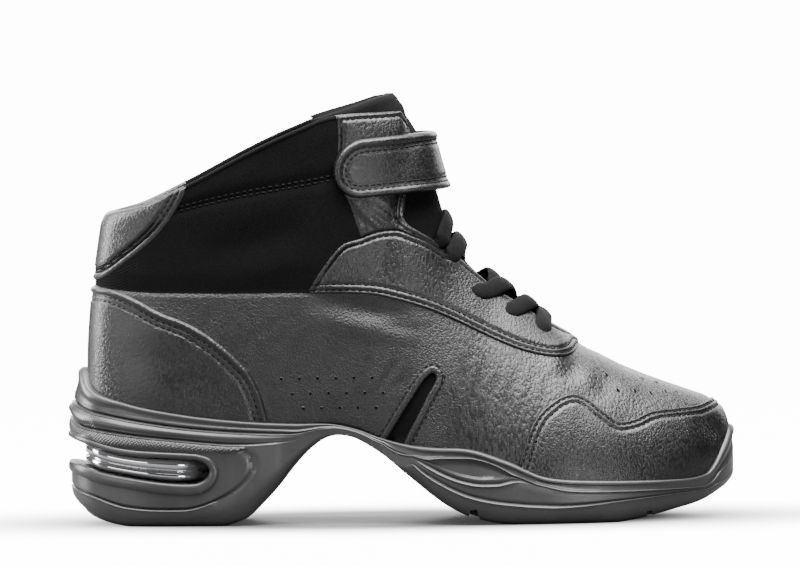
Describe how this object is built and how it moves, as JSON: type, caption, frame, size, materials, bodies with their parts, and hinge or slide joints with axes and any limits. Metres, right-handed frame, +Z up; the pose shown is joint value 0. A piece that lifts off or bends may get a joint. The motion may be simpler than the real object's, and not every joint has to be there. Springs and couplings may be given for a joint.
{
  "type": "high-top sneaker",
  "caption": "Right high-top dance sneaker: hollow lasted leather upper with ankle strap, laced throat and tongue, on an arched moulded sole with a heel window and air capsule.",
  "frame": {"origin": "floor under the middle of the shoe's outer box, as it stands on its sole", "axes": "+X towards the toe, +Y towards the medial side (this is a right shoe), +Z up"},
  "size_m": [0.2796, 0.1032, 0.1782],
  "materials": {
    "sole_rubber": "moulded black rubber, satin",
    "capsule": "clear moulded air capsule, silvery",
    "upper_leather": "black grained leather, semi-gloss",
    "overlay_leather": "black grained leather, semi-gloss",
    "strap_leather": "black grained leather, padded",
    "tongue_fabric": "black padded mesh",
    "sock_fabric": "black woven sock liner",
    "lace_fabric": "flat woven lace"
  },
  "bodies": {
    "root": {"ankle_tab_lateral": "overlay_leather", "ankle_tab_medial": "overlay_leather", "eyestay": "overlay_leather", "heel_collar": "overlay_leather", "heel_counter": "overlay_leather", "heel_cushion": "capsule", "insole": "sock_fabric", "lace_bar": "lace_fabric", "lace_crossing_1": "lace_fabric", "lace_crossing_2": "lace_fabric", "lace_crossing_3": "lace_fabric", "lace_crossing_4": "lace_fabric", "sole": "sole_rubber", "strap": "strap_leather", "toe_cap": "overlay_leather", "tongue": "tongue_fabric", "upper": "upper_leather"}
  },
  "joints": []
}
